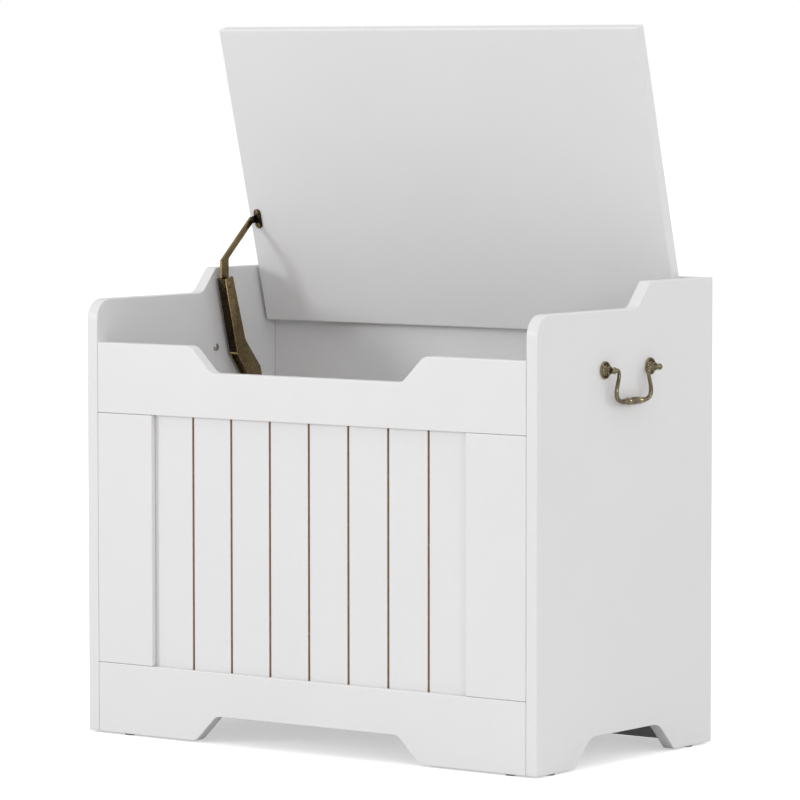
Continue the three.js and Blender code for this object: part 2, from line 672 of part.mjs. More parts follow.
function addStay() {
  const [wallY, wallZ] = STAY_WALL;
  const plateFace = WALL_PLATE.thickness - FIT;
  const channelLeft = -CHANNEL.outerX;
  const channelRight = channelLeft + CHANNEL.width;
  const flangeInner = channelLeft + CHANNEL.wall;

  const plate = piece(carcass, "stay_wall_plate", stayWallPlate(), "brass");
  plate.position.set(0, wallY, wallZ);
  const pinProfile = [
    [0, -FIT],
    [RIVET, -FIT],
    [RIVET, plateFace + GAP],
    [RIVET + 1.8, plateFace + GAP],
    [RIVET + 1.8, channelLeft - GAP],
    [RIVET, channelLeft - GAP],
    [RIVET, channelRight + GAP],
    [4, channelRight + GAP],
    [4, channelRight + 0.8],
    [2.8, channelRight + 1.6],
    [0, channelRight + 1.6],
  ];
  const wallPin = piece(carcass, "stay_wall_pin", turned(pinProfile, X_AXIS), "brass");
  wallPin.position.set(0, wallY, wallZ);
  STAY_SCREW_ZS.forEach((z, i) => {
    const spot = [plateFace + GAP, wallY, z];
    addScrew(carcass, `stay_wall_screw_${i + 1}`, WOOD_SCREW, "right", spot);
  });

  // The channel turns with the lid, and is drawn as it lies with the lid closed.
  const channelFrame = new THREE.Group();
  channelFrame.position.set(0, wallY, wallZ);
  channelFrame.rotation.x = -LID_OPEN;
  carcass.add(channelFrame);
  piece(channelFrame, "stay_channel", stayChannel(), "brass");
  const collars = [
    [flangeInner + GAP, ARM_LEFT - GAP],
    [ARM_RIGHT + GAP, channelRight - CHANNEL.wall - GAP],
  ];
  const knee = rivet(channelLeft - GAP, channelRight + GAP, 3.5, 0.9, collars);
  const kneePin = piece(channelFrame, "stay_knee_rivet", knee, "brass");
  kneePin.position.set(0, ...STAY_BRACKET);

  // The arm only moves sideways, so it is drawn upright from the knee.
  const kneeAt = new THREE.Vector3(0, ...STAY_BRACKET).applyAxisAngle(X_AXIS, -LID_OPEN);
  const arm = piece(carcass, "stay_arm", stayArm(), "brass");
  arm.position.set(0, wallY + kneeAt.y, wallZ + kneeAt.z);

  piece(lidFrame, "stay_lid_bracket", stayBracket(), "brass");
  const endPin = rivet(ARM_LEFT - GAP, BRACKET_LEFT + BRACKET.thickness + GAP, 3.3, 1.2);
  piece(lidFrame, "stay_lid_pin", endPin, "brass").position.set(0, ...STAY_BRACKET);
  const bracketFace = LID_UNDERSIDE - BRACKET.thickness - 2 * GAP;
  BRACKET_SCREW_YS.forEach((y, i) => {
    const spot = [BRACKET_X, y, bracketFace];
    addScrew(lidFrame, `stay_lid_screw_${i + 1}`, WOOD_SCREW, "down", spot);
  });
}

// ---------------------------------------------------------------- handles
// A turned post along +Z: rosette, neck, collar, and a ball with an eye along Y.
function handlePost() {
  const { standoff, radius, bore } = EYE;
  const profile = [
    [0, 0],
    [10, 0],
    [10, 1.2],
    [9.2, 2],
    [8, 1.8],
    [6.6, 2.8],
    [5, 3.8],
    [4.5, 5],
    [4.4, 7.2],
    [3.4, 8.2],
  ];
  const steps = 8;
  const neckAngle = -Math.PI / 3.8;
  for (let i = 0; i <= steps; i += 1) {
    const angle = neckAngle + ((QUARTER - neckAngle) * i) / steps;
    const ballRadius = i === steps ? 0 : radius * Math.cos(angle);
    profile.push([ballRadius, standoff + radius * Math.sin(angle)]);
  }
  const tapDepth = 7.5;
  const tap = rod(HANDLE_SCREW.bore, 2 * tapDepth, [0, 0, 0], Z_AXIS, 10);
  const eye = rod(bore, 4 * radius, [0, 0, standoff], Y_AXIS, 14);
  return drilled(turned(profile, Z_AXIS, 16), [tap, eye]);
}

// The bail, seen from the axis of its eyes, Y: it hangs down along -Z, and its legs are cranked
// towards the board, -X. The wire is thin in the eyes and thickest at the lower corners.
function bail() {
  const { crank, drop, grip, gripHalf, beadAt, beadPitch } = BAIL;
  const rearHalf = [
    [0, POST_SPREAD + 3, 0, 1.8],
    [0, 41, 0.1, 1.8],
    [-1, 37.6, 0.3, 1.8],
    [-0.8 * crank, 32.5, -0.2, 1.9],
    [-crank, 29.8, -3.5, 2],
    [-crank, 29.8, -8, 2.1],
    [-crank, 31.3, -13.5, 2.2],
    [-crank, 33.4, -19.5, 2.3],
    [-crank, 34.3, -25.5, 2.5],
    [-crank, 33.1, -31, 2.6],
    [-crank, 28.2, -34.6, 2.5],
    [-crank, 21, -drop, 2.3],
  ];
  const frontHalf = rearHalf.map(([x, y, z, radius]) => [x, -y, z, radius]);
  const bent = wireThrough([...rearHalf, ...frontHalf.reverse()]);
  const half = [
    [0, -gripHalf],
    [2.6, -gripHalf],
    [3.1, -gripHalf * 0.75],
    [grip - 0.9, -beadAt - 1.5 * beadPitch],
    [grip - 0.2, -beadAt - beadPitch],
    [grip - 0.9, -beadAt - 0.5 * beadPitch],
    [grip, -beadAt],
    [grip - 0.9, -beadAt + 0.5 * beadPitch],
    [grip - 0.2, -beadAt + beadPitch],
    [grip - 0.5, -beadAt + 1.5 * beadPitch],
    [grip, -beadAt * 0.4],
  ];
  const mirrored = half.map(([radius, y]) => [radius, -y]).reverse();
  const spindle = turned([...half, ...mirrored], Y_AXIS, 14).translate(-crank, 0, -drop);
  return joined([bent, spindle]);
}

function addHandle(name, side) {
  const face = side * (WIDTH / 2);
  const outward = side > 0 ? "right" : "left";
  const inward = side > 0 ? "left" : "right";
  POST_YS.forEach((y, i) => {
    const end = ["front", "rear"][i];
    const post = piece(carcass, `${name}_${end}_post`, handlePost(), "brass");
    post.rotation.set(FACING[outward][0], FACING[outward][1], 0);
    post.position.set(face + side * GAP, y, HANDLE_Z);
    const spot = [side * (INSIDE - GAP), y, HANDLE_Z];
    addScrew(carcass, `${name}_${end}_screw`, HANDLE_SCREW, inward, spot, "steel");
  });
  const ring = piece(carcass, `${name}_bail`, bail(), "brass");
  ring.position.set(face + side * (GAP + EYE.standoff), DEPTH / 2, HANDLE_Z);
  ring.rotation.z = side > 0 ? 0 : Math.PI;
}

addBoards();
addGlides();
addHinge("hinge_left", -HINGE_X);
addHinge("hinge_right", HINGE_X);
addStay();
addHandle("handle_left", -1);
addHandle("handle_right", 1);

export default toyBox;
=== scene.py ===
"""A white wooden toy box with a hinged lid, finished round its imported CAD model.

Metres, in the CAD's own frame: +Z up, front towards -Y, origin on the floor under the middle.
The boards keep the CAD's outlines and get eased, painted edges. The fittings are turned, bent
and pressed anew at the CAD's places. They are drawn in millimetres, and finished() scales them.
"""

import json
import math

import bmesh
import bpy
from mathutils import Matrix, Vector


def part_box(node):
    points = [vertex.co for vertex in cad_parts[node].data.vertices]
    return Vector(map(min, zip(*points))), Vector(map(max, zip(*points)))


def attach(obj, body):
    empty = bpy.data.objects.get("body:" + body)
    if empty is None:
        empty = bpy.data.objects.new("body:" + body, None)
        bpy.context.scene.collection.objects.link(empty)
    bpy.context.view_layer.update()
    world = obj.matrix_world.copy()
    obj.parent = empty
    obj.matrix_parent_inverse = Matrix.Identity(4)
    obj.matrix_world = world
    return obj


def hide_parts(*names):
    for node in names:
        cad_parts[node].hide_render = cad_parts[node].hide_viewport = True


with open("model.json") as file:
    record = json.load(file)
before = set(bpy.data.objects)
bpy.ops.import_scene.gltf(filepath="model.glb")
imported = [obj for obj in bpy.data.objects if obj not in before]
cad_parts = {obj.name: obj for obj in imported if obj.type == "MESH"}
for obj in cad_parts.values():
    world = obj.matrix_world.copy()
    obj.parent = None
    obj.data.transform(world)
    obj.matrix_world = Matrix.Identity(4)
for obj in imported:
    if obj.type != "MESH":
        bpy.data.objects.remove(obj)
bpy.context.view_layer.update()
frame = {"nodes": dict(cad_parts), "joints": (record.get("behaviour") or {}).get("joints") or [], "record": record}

MM = 0.001
QUARTER = math.pi / 2
NODES = frame["nodes"]
JOINTS = {joint["name"]: joint for joint in frame["joints"]}
OPEN = math.radians(JOINTS["lid_hinge"]["range_deg"][1])


# ---------------------------------------------------------------- sizes, in millimetres
def mm(length):
    """A length of the frame in millimetres, to the hundredth."""
    return round(length / MM, 2)


def size_of(node):
    """A node's width, depth and height at rest."""
    low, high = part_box(node)
    return [mm(length) for length in high - low]


def joint_at(name):
    return Vector(JOINTS[name]["pos_m"])


def with_lid_closed(step):
    """A step between two places on the open lid or its stay, as it points with the lid closed."""
    return Matrix.Rotation(OPEN, 3, "X") @ step


GAP = 0.3  # clearance between one part and the next
WELD = 0.002  # corners nearer than this are one corner
BOARD_EASE = 1.1  # rounding of the boards' edges
LID_EASE = 1.9
PANEL_EASE = 0.45
GROOVE_DEPTH = 2.5

# Screws: radii of head and shank, and the shank's length.
WOOD_SCREW = {"head": 3.1, "head_height": 1.2, "shank": 1.5, "length": 12}
MACHINE_SCREW = {"head": 4.2, "head_height": 2.2, "shank": 1.6, "length": 22}
HOLE_REACH = 2.4  # a screw hole's wall lies this near the screw's axis
HOLE_DEPTH = 30  # and this near the screw's head, along the axis

# Handles: the swing axis runs through the posts' eyes.
SWING = joint_at("right_handle_swing")
POST_BASE, POST_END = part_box("handle_right_front_post")
EYE = {"standoff": mm(SWING.x - POST_BASE.x), "radius": mm(POST_END.x - SWING.x), "bore": 2.1}
EYE_Y = mm((POST_BASE.y + POST_END.y) / -2)  # from the middle of the bail
ROSETTE = mm((POST_END.y - POST_BASE.y) / 2)
CRANK = 4  # the bail's legs lie this much nearer to the board than its eyes
DROP = 36  # the grip hangs this far below the eyes
WIRE = 1.8  # radius of the bail's ends
GRIP_HALF = 22
GRIP = {"end": 2.35, "waist": 2.75, "swell": 1.65, "bead_bed": 3.35, "bead": 0.95, "most": 4.4}
BEADS = (9.0, 10.8, 12.6)  # distances from the middle of the grip
BEAD_SPREAD = 0.55

# Hinges: the knuckles lie round the hinge line, and the leaves reach on from there.
HINGE = joint_at("lid_hinge")
LEAF_LOW, LEAF_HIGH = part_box("hinge_left_wall_leaf")
KNUCKLE = mm(HINGE.z - LEAF_LOW.z)
LEAF = {
    "width": mm(LEAF_HIGH.x - LEAF_LOW.x),
    "length": mm(LEAF_HIGH.z - HINGE.z),
    "thickness": 1.4,
    "centre_knuckle": 17,
}

# Stay: lid, wall, channel and arm are a parallelogram, so the channel's step from the wall pivot
# to the knee is also the lid's step from the hinge line to the bracket's pivot.
WALL_PIVOT = joint_at("stay_wall_pivot")
CHANNEL_STEP = with_lid_closed(joint_at("stay_knee") - WALL_PIVOT)
STAY_BRACKET = (mm(CHANNEL_STEP.y), mm(CHANNEL_STEP.z))
STAY_FRONT = mm(HINGE.y - WALL_PIVOT.y)  # from the knee back to the bracket's pivot
STAY_DROP = mm(HINGE.z - WALL_PIVOT.z)  # from the bracket's pivot down to the knee
LID_UNDERSIDE = mm(min(with_lid_closed(v.co - HINGE).z for v in NODES["lid"].data.vertices))
CHANNEL_MID = mm(WALL_PIVOT.x)
# The head is from the front end to the knee. Flange depths are up from the web's outer face.
CHANNEL = {"width": size_of("stay_channel")[0], "wall": 1.5, "head": 9.2, "web_length": 90}
CHANNEL_LEFT = CHANNEL_MID - CHANNEL["width"] / 2
CHANNEL_RIGHT = CHANNEL_MID + CHANNEL["width"] / 2
FLANGE = {"knee_to_web": 6.7, "knee_depth": 15.5, "bend_depth": 19, "bend_at": 72, "boss": 7.5}
# Half widths at the knee and of the slanted part; the foot's front and its shoulder above the knee.
ARM = {"thickness": size_of("stay_arm")[0], "knee_half": 4.9, "half": 3.7, "front": 8.7, "shoulder": 8.3}
ARM_SLANT = math.radians(41.5)
ARM_LEFT = CHANNEL_MID - ARM["thickness"] / 2
ARM_RIGHT = CHANNEL_MID + ARM["thickness"] / 2
WALL_FACE = mm(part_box("stay_wall_plate")[0].x)
WALL_PLATE = dict(zip(("thickness", "width", "length"), size_of("stay_wall_plate")))
BRACKET = {"length": 24, "width": 10, "thickness": 1.5, "ear": 4.2}
RIVET = 2.3

# ---------------------------------------------------------------- camera and light
# Degrees, metres, and millimetres for the lens.
CAMERA = {
    "azimuth": 36.587,
    "elevation": 3.982,
    "distance": 5.569,
    "roll": -0.035,
    "aim": (0.0034, 0.0008, 0.3928),
    "lens": 216.8,
}
AMBIENT = 0.75  # strength of the white surround as a light
FLOOR_LIFT = 0.5  # the floor's own glow, for the eye alone
FLOOR_RADIUS = 60
# Soft square lights: place and side in metres, power in watts.
LIGHTS = {
    "key": {"place": (-2.9, -4.2, 1.3), "size": 1.0, "power": 62},
    "fill": {"place": (4.3, -2.5, 1.4), "size": 0.8, "power": 25},
    "rim": {"place": (2.9, 1.9, 1.3), "size": 1.0, "power": 10},
    "top": {"place": (0.6, -0.5, 3.2), "size": 2.0, "power": 15},
}
LIT_POINT = Vector((0, 0, 0.4))  # which they all face


# ---------------------------------------------------------------- curves and outlines
def through(points, steps):
    """A smooth centripetal Catmull-Rom line through the points, steps to each stretch."""
    points = [Vector(p) for p in points]
    first = points[0] * 2 - points[1]
    last = points[-1] * 2 - points[-2]
    ends = [first, *points, last]
    line = []
    for before, start, end, after in zip(ends, ends[1:], ends[2:], ends[3:]):
        gaps = [
            max((b - a).length, 1e-9) ** 0.5
            for a, b in ((before, start), (start, end), (end, after))
        ]
        leave = (start - before) / gaps[0] - (end - before) / (gaps[0] + gaps[1])
        leave = (leave + (end - start) / gaps[1]) * gaps[1]
        arrive = (end - start) / gaps[1] - (after - start) / (gaps[1] + gaps[2])
        arrive = (arrive + (after - end) / gaps[2]) * gaps[1]
        for step in range(steps):
            t = step / steps
            line.append(
                start * (2 * t**3 - 3 * t**2 + 1)
                + leave * (t**3 - 2 * t**2 + t)
                + end * (3 * t**2 - 2 * t**3)
                + arrive * (t**3 - t**2)
            )
    line.append(points[-1])
    return line


def arc(centre, radius, start, end, steps):
    """Points on an arc, angles in degrees."""
    angles = [math.radians(start + (end - start) * k / steps) for k in range(steps + 1)]
    x, y = centre
    return [(x + radius * math.cos(a), y + radius * math.sin(a)) for a in angles]


def round_ended(width, length, steps=10):
    """A plate outline with half-round ends, longer in y than in x."""
    radius = width / 2
    reach = length / 2 - radius
    upper = arc((0, reach), radius, 0, 180, 2 * steps)
    lower = arc((0, -reach), radius, 180, 360, 2 * steps)
    return upper + lower


def rounded(corners, steps=8):
    """Corner points (x, y, radius) as a closed outline, each corner an arc of its radius."""
    points = []
    for i, (x, y, radius) in enumerate(corners):
        corner = Vector((x, y))
        back = (Vector(corners[i - 1][:2]) - corner).normalized()
        on = (Vector(corners[(i + 1) % len(corners)][:2]) - corner).normalized()
        half = back.angle(on) / 2
        centre = corner + (back + on).normalized() * radius / math.sin(half)
        start = corner + back * radius / math.tan(half) - centre
        sweep = math.copysign(math.pi - 2 * half, -back.cross(on))
        for step in range(steps + 1):
            points.append(tuple(centre + Matrix.Rotation(sweep * step / steps, 2) @ start))
    return points


# ---------------------------------------------------------------- solids, drawn in millimetres
def bridged(work, low, high):
    """Faces between two rings of corners; a ring may be a single corner."""
    count = max(len(low), len(high))
    for k in range(count):
        corners = []
        for ring, place in ((low, k), (low, k + 1), (high, k + 1), (high, k)):
            corner = ring[place % len(ring)]
            if corner not in corners:
                corners.append(corner)
        work.faces.new(corners)


def turned(profile, sides=40, hollow=False):
    """A solid turned about Z from (radius, height) points that start and end on the axis.

    A hollow one has a closed profile that keeps off the axis.
    """
    work = bmesh.new()
    rings = []
    for radius, height in profile:
        count = sides if radius > 0 else 1
        turns = [2 * math.pi * k / sides for k in range(count)]
        rings.append(
            [work.verts.new((radius * math.cos(t), radius * math.sin(t), height)) for t in turns]
        )
    if hollow:
        rings.append(rings[0])
    for low, high in zip(rings, rings[1:]):
        bridged(work, low, high)
    return work


def cap(radius, rise):
    """A domed end's (radius, height) profile, from its rim towards its top."""
    angles = [math.radians(a) for a in range(0, 90, 15)]
    return [(radius * math.cos(a), rise * math.sin(a)) for a in angles]


def swept(route, radii, sides=20):
    """A round bar along the route, with its own radius at every point."""
    work = bmesh.new()
    side = Vector((1, 0, 0))
    rings = []
    for i, point in enumerate(route):
        ahead = (route[min(i + 1, len(route) - 1)] - route[max(i - 1, 0)]).normalized()
        side = (side - ahead * side.dot(ahead)).normalized()
        across = ahead.cross(side)
        count = sides if radii[i] > 0 else 1
        turns = [2 * math.pi * k / sides for k in range(count)]
        rings.append(
            [
                work.verts.new(point + (side * math.cos(t) + across * math.sin(t)) * radii[i])
                for t in turns
            ]
        )
    for low, high in zip(rings, rings[1:]):
        bridged(work, low, high)
    return work


def outward(work):
    """Turns the faces of a closed drawing outwards."""
    bmesh.ops.recalc_face_normals(work, faces=work.faces)
    if work.calc_volume(signed=True) < 0:
        bmesh.ops.reverse_faces(work, faces=work.faces)
    return work


def ease(work, radius, material=0, segments=2, over=35):
    """Rounds the convex edges that are sharper than an angle in degrees."""
    limit = math.radians(over)
    edges = [e for e in work.edges if e.is_manifold and e.is_convex and e.calc_face_angle() > limit]
    bmesh.ops.bevel(
        work,
        geom=edges,
        offset=radius,
        offset_type="OFFSET",
        segments=segments,
        profile=0.5,
        affect="EDGES",
        clamp_overlap=True,
        material=material,
    )


def flattened(work):
    """Makes one face of neighbours that lie in one plane."""
    bmesh.ops.dissolve_limit(
        work,
        verts=work.verts,
        edges=work.edges,
        angle_limit=math.radians(0.6),
        use_dissolve_boundaries=False,
    )


def pressed(outline, thickness, rounding=0.0):
    """A flat plate: an outline in x and y, extruded up along Z, its rims eased."""
    work = bmesh.new()
    base = work.faces.new([work.verts.new((x, y, 0)) for x, y in outline])
    raised = bmesh.ops.extrude_face_region(work, geom=[base])["geom"]
    up = [v for v in raised if isinstance(v, bmesh.types.BMVert)]
    bmesh.ops.translate(work, verts=up, vec=(0, 0, thickness))
    outward(work)
    if rounding:
        ease(work, rounding)
    return work


def placed(work, matrix):
    work.transform(matrix)
    return work


def shift(x, y, z):
    return Matrix.Translation((x, y, z))


def turn(angle, axis):
    return Matrix.Rotation(angle, 4, axis)


# Lays a drawing in x and y, pressed up along z, across X: x to y, y to z, and z to x.
ACROSS_X = Matrix(((0, 0, 1, 0), (1, 0, 0, 0), (0, 1, 0, 0), (0, 0, 0, 1)))
# Lays it along Y: x stays, y to z, and z to y.
ALONG_Y = Matrix(((1, 0, 0, 0), (0, 0, 1, 0), (0, 1, 0, 0), (0, 0, 0, 1)))


# ---------------------------------------------------------------- objects
def shell_of(work, name):
    """A drawing as an object at the origin, still in millimetres."""
    mesh = bpy.data.meshes.new(name)
    outward(work).to_mesh(mesh)
    work.free()
    shell = bpy.data.objects.new(name, mesh)
    bpy.context.scene.collection.objects.link(shell)
    return shell


def combined(first, others, operation="UNION"):
    """Joins drawings to the first, or cuts them from it, as one closed drawing."""
    whole = shell_of(first, "whole")
    tools = [shell_of(work, "tool") for work in others]
    for tool in tools:
        step = whole.modifiers.new("join", "BOOLEAN")
        step.operation = operation
        step.solver = "EXACT"
        step.object = tool
    bpy.context.view_layer.update()
    graph = bpy.context.evaluated_depsgraph_get()
    result = bpy.data.meshes.new_from_object(whole.evaluated_get(graph))
    work = bmesh.new()
    work.from_mesh(result)
    bmesh.ops.remove_doubles(work, verts=work.verts, dist=WELD)
    bpy.data.meshes.remove(result)
    for shell in [whole, *tools]:
        bpy.data.meshes.remove(shell.data)  # and the object with it
    return work


def finished(work, name, materials, sharp=38):
    """A drawing as a shaded mesh in metres: smooth, but for edges sharper than an angle."""
    work.transform(Matrix.Scale(MM, 4))
    shell = shell_of(work, name)
    mesh = shell.data
    mesh.shade_smooth()
    mesh.set_sharp_from_angle(angle=math.radians(sharp))
    for material in materials:
        mesh.materials.append(material)
    bpy.data.objects.remove(shell)
    return mesh


def piece(mesh, name, body, nodes, matrix=Matrix.Identity(4)):
    """Puts a mesh at its place, on its body, instead of the CAD nodes that it stands for."""
    made = bpy.data.objects.new(name, mesh)
    bpy.context.scene.collection.objects.link(made)
    made.matrix_world = matrix
    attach(made, body)
    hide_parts(*nodes)
    return made


def at_joint(name, angle=0.0):
    """The place of a joint's own drawing, turned about X."""
    return Matrix.Translation(joint_at(name)) @ turn(angle, "X")


def seat(node, facing, at_top=True):
    """The place of a fitting's own drawing: +Z along its facing, at the top or base of its CAD node."""
    corners = [facing.inverted() @ v.co for v in NODES[node].data.vertices]
    low = Vector([min(c[axis] for c in corners) for axis in range(3)])
    high = Vector([max(c[axis] for c in corners) for axis in range(3)])
    middle = (low + high) / 2
    middle.z = high.z if at_top else low.z
    return facing @ Matrix.Translation(middle)


# ---------------------------------------------------------------- materials
class Finish:
    """A procedural material. Textures are in the object's own metres, so they ride with it."""

    def __init__(self, name, **constants):
        self.material = bpy.data.materials.new(name)
        self.material.use_nodes = True
        self.tree = self.material.node_tree
        self.shader = self.tree.nodes["Principled BSDF"]
        for socket, value in constants.items():
            self.shader.inputs[socket.replace("_", " ")].default_value = value
        self.place = self.node("ShaderNodeTexCoord").outputs["Object"]

    def node(self, kind, sockets=None, **settings):
        made = self.tree.nodes.new(kind)
        for setting, value in settings.items():
            setattr(made, setting, value)
        for socket, value in (sockets or {}).items():
            if isinstance(value, bpy.types.NodeSocket):
                self.tree.links.new(value, made.inputs[socket])
            else:
                made.inputs[socket].default_value = value
        return made

    def noise(self, scale, detail=2.0, roughness=0.5, stretch=None):
        place = self.place
        if stretch:
            sockets = {"Vector": place, "Scale": stretch}
            place = self.node("ShaderNodeMapping", sockets).outputs["Vector"]
        sockets = {"Vector": place, "Scale": scale, "Detail": detail, "Roughness": roughness}
        return self.node("ShaderNodeTexNoise", sockets).outputs["Fac"]

    def spread(self, value, low, high, to_low=0.0, to_high=1.0):
        """Maps a value from one range to another, and clamps it there."""
        sockets = {"Value": value, "From Min": low, "From Max": high}
        sockets.update({"To Min": to_low, "To Max": to_high})
        return self.node("ShaderNodeMapRange", sockets).outputs["Result"]

    def multiplied(self, first, second):
        sockets = {0: first, 1: second}
        return self.node("ShaderNodeMath", sockets, operation="MULTIPLY").outputs[0]

    def added(self, first, second):
        sockets = {0: first, 1: second}
        return self.node("ShaderNodeMath", sockets, operation="ADD").outputs[0]

    def blended(self, share, first, second):
        """A colour between two others."""
        mix = self.node("ShaderNodeMix", data_type="RGBA")
        for socket, value in zip((mix.inputs[0], mix.inputs[6], mix.inputs[7]), (share, first, second)):
            if isinstance(value, bpy.types.NodeSocket):
                self.tree.links.new(value, socket)
            else:
                socket.default_value = value
        return mix.outputs[2]

    def bump(self, height, depth, under=None):
        sockets = {"Height": height, "Distance": depth, "Strength": 1.0}
        if under:
            sockets["Normal"] = under
        return self.node("ShaderNodeBump", sockets).outputs["Normal"]

    def wire(self, **sockets):
        for socket, value in sockets.items():
            self.tree.links.new(value, self.shader.inputs[socket.replace("_", " ")])
        return self.material


def colour(red, green, blue):
    return (red, green, blue, 1.0)


def sprayed(finish):
    """The surface of sprayed satin lacquer: a soft waviness under a fine orange peel."""
    waviness = finish.bump(finish.noise(55, 2), 0.00009)
    return finish.bump(finish.noise(650, 3, 0.55), 0.000016, waviness)


def paint():
    """White satin lacquer, with slow drifts of tone and gloss."""
    finish = Finish("white_lacquer", IOR=1.5)
    drift = finish.spread(finish.noise(4, 3), 0.3, 0.7)
    tone = finish.blended(drift, colour(0.745, 0.738, 0.738), colour(0.77, 0.765, 0.766))
    fleck = finish.spread(finish.noise(2400, 2), 0.35, 0.65, 0.0, 0.35)
    tone = finish.blended(fleck, tone, colour(0.72, 0.712, 0.712))
    gloss = finish.spread(finish.noise(22, 4), 0.3, 0.7, 0.36, 0.47)
    return finish.wire(Base_Color=tone, Roughness=gloss, Normal=sprayed(finish))


def worn_and_highlit_edge():
    """The same lacquer on a rounded edge, where it is thin: warmer, a shade lighter as a painted highlight, with
    faint rubbed spots.
    """
    finish = Finish("white_lacquer_on_edges", IOR=1.5)
    rubbed = finish.multiplied(
        finish.spread(finish.noise(14, 4), 0.52, 0.75),
        finish.spread(finish.noise(420, 4, 0.65), 0.5, 0.66),
    )
    drift = finish.spread(finish.noise(30, 3), 0.35, 0.65)
    # A shade lighter than the flat faces: a painted highlight on the rounded edges.
    tone = finish.blended(drift, colour(0.765, 0.752, 0.747), colour(0.785, 0.776, 0.773))
    tone = finish.blended(finish.multiplied(rubbed, 0.3), tone, colour(0.5, 0.4, 0.31))
    gloss = finish.spread(finish.noise(60, 3), 0.3, 0.7, 0.28, 0.38)
    return finish.wire(Base_Color=tone, Roughness=gloss, Normal=sprayed(finish))


def fibreboard():
    """Raw tan fibreboard in the grooves, with fine fibres and spots of spilt paint."""
    finish = Finish("raw_fibreboard", IOR=1.45)
    fibres = finish.noise(900, 5, 0.7, stretch=(1, 1, 0.16))
    grain = finish.spread(fibres, 0.32, 0.68)
    tone = finish.blended(grain, colour(0.28, 0.175, 0.105), colour(0.43, 0.3, 0.2))
    patch = finish.spread(finish.noise(9, 2), 0.35, 0.65, 0.0, 0.3)
    tone = finish.blended(patch, tone, colour(0.33, 0.22, 0.145))
    spilt = finish.spread(finish.noise(160, 4), 0.62, 0.7, 0.0, 0.4)
    tone = finish.blended(spilt, tone, colour(0.6, 0.53, 0.47))
    dull = finish.spread(fibres, 0.3, 0.7, 0.8, 0.95)
    return finish.wire(Base_Color=tone, Roughness=dull, Normal=finish.bump(fibres, 0.00012))


def brass(name, patina, metal, sheen=(0.22, 0.36), hollow=(0.42, 0.495), ridge=(0.53, 0.65)):
    """Antique brass: dark patina, warm metal on the rubbed edges, and grime in the recesses, which are darkened
    there as painted shade too.

    The sheen is a range of roughness. Hollow and ridge are the ranges of pointiness over which
    the grime and painted shade give out and the rubbing sets in.
    """
    finish = Finish(name, Metallic=1.0)
    crest = finish.node("ShaderNodeNewGeometry").outputs["Pointiness"]
    rubbed = finish.spread(crest, *ridge)
    # Low pointiness marks the hollows, which get grime and painted shade.
    clear_of_grime_and_shade = finish.spread(crest, *hollow)
    drift = finish.spread(finish.noise(60, 3, 0.55), 0.35, 0.65, 0.14, 0.3)
    grain = finish.multiplied(finish.noise(1100, 4, 0.6), 0.16)
    worn = finish.spread(finish.added(finish.added(rubbed, drift), grain), 0.0, 1.3)
    tone = finish.blended(clear_of_grime_and_shade, GRIME_AND_SHADE, finish.blended(worn, patina, metal))
    gloss = finish.spread(finish.noise(240, 4), 0.3, 0.7, *sheen)
    dents = finish.bump(finish.noise(420, 3), 0.00002)
    return finish.wire(Base_Color=tone, Roughness=gloss, Normal=dents)


def steel():
    """Zinc-plated steel, brushed round by the tool, with a faint bloom."""
    finish = Finish("zinc_steel", Metallic=1.0)
    bloom = finish.spread(finish.noise(240, 4), 0.35, 0.65)
    tone = finish.blended(bloom, colour(0.46, 0.45, 0.43), colour(0.62, 0.61, 0.6))
    marks = finish.noise(1400, 4, 0.7, stretch=(1, 0.12, 1))
    gloss = finish.spread(marks, 0.3, 0.7, 0.22, 0.4)
    return finish.wire(Base_Color=tone, Roughness=gloss, Normal=finish.bump(marks, 0.00001))


def plastic():
    """Moulded grey plastic with a fine grain, scuffed where it slides."""
    finish = Finish("glide_grey", IOR=1.46)
    scuff = finish.spread(finish.noise(500, 5, 0.7), 0.45, 0.7)
    tone = finish.blended(scuff, colour(0.2, 0.185, 0.17), colour(0.34, 0.32, 0.3))
    dull = finish.spread(scuff, 0.0, 1.0, 0.5, 0.75)
    grain = finish.bump(finish.noise(2600, 2), 0.00002)
    return finish.wire(Base_Color=tone, Roughness=dull, Normal=grain)


PAINT = paint()
EDGE = worn_and_highlit_edge()
RAW = fibreboard()
GRIME_AND_SHADE = colour(0.009, 0.0065, 0.004)  # as dark as the brass gets: grime and painted shade in hollows, and painted shade all over the darkened brass
BRASS = brass(
    "antique_brass",
    patina=colour(0.072, 0.053, 0.025),
    metal=colour(0.62, 0.46, 0.23),
)
CAST = brass(
    "antique_brass_cast",
    patina=colour(0.02, 0.016, 0.008),
    metal=colour(0.8, 0.66, 0.42),
    sheen=(0.12, 0.22),
    hollow=(0.46, 0.51),
    ridge=(0.53, 0.63),
)
# Brass painted dark all over: painted shade on the channel's web face, the lid bracket and its pin.
SHADED_BRASS = brass("antique_brass_painted_shade", patina=GRIME_AND_SHADE, metal=colour(0.1, 0.074, 0.038))
STEEL = steel()
PLASTIC = plastic()

# ---------------------------------------------------------------- fasteners
# Turns that point a drawing's +Z to the box's right, left or front, off the lid's top, or down.
RIGHT = turn(QUARTER, "Y")
LEFT = turn(-QUARTER, "Y")
FRONT = turn(QUARTER, "X")
LID_TURN = turn(-OPEN, "X")
DOWN = turn(math.pi, "X")


def cross_recess(head, depth):
    """The two crossed blades that cut a screw's head, up past its top."""
    half = head * 0.16
    reach = head * 0.62
    blade = [(-reach, -half), (reach, -half), (reach, half), (-reach, half)]
    sunk = shift(0, 0, -depth)
    return [placed(pressed(blade, 3), turn(angle, "Z") @ sunk) for angle in (0, QUARTER)]


